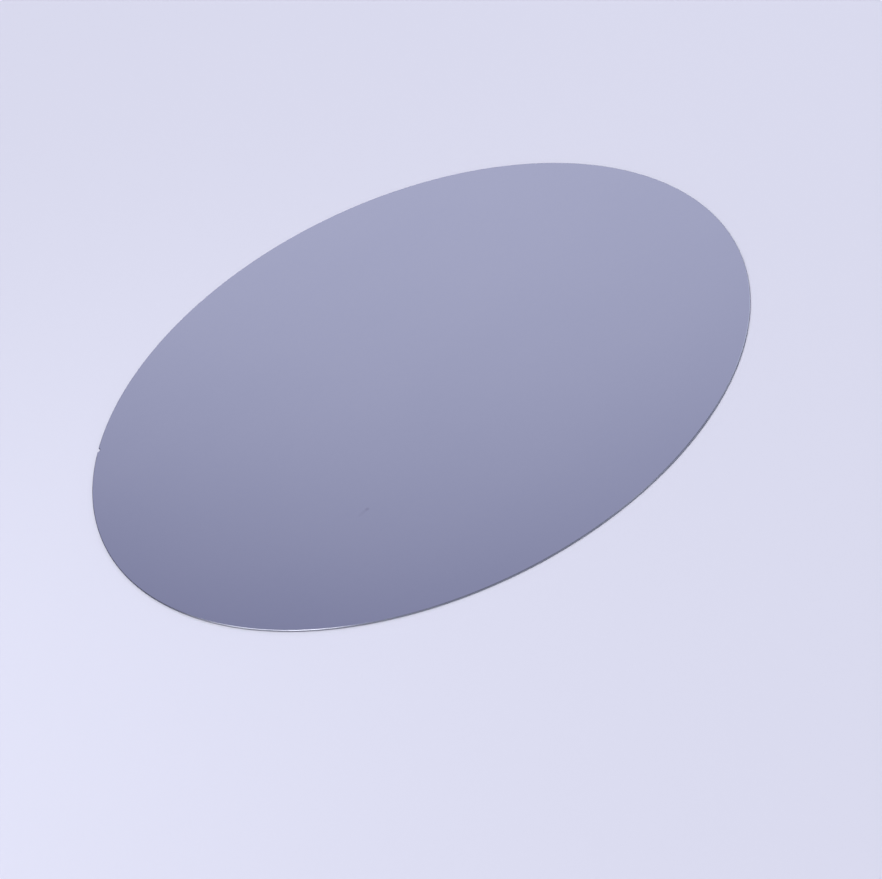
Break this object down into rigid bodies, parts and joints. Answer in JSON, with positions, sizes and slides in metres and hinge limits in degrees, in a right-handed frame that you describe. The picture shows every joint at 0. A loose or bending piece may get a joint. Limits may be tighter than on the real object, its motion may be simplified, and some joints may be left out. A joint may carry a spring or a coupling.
{
  "type": "silicon wafer",
  "caption": "Thin round disc of polished silicon, flat on both faces, with a bevelled and rounded ground edge and one small V notch in its rim.",
  "frame": {"origin": "centre of the wafer's back face, where its axis meets the surface that it lies on", "axes": "+Z is square to both faces, from the back face to the polished front face, along the wafer's axis; -Y points from the centre to the notch; +X completes the right-handed set, so the notch is at the bottom when the front face is seen with +X to the right"},
  "size_m": [0.3, 0.3, 0.0008],
  "materials": {
    "polished_silicon": "mirror-polished grey-violet silicon, with a satin ground edge"
  },
  "bodies": {
    "root": {"wafer": "polished_silicon"}
  },
  "joints": []
}
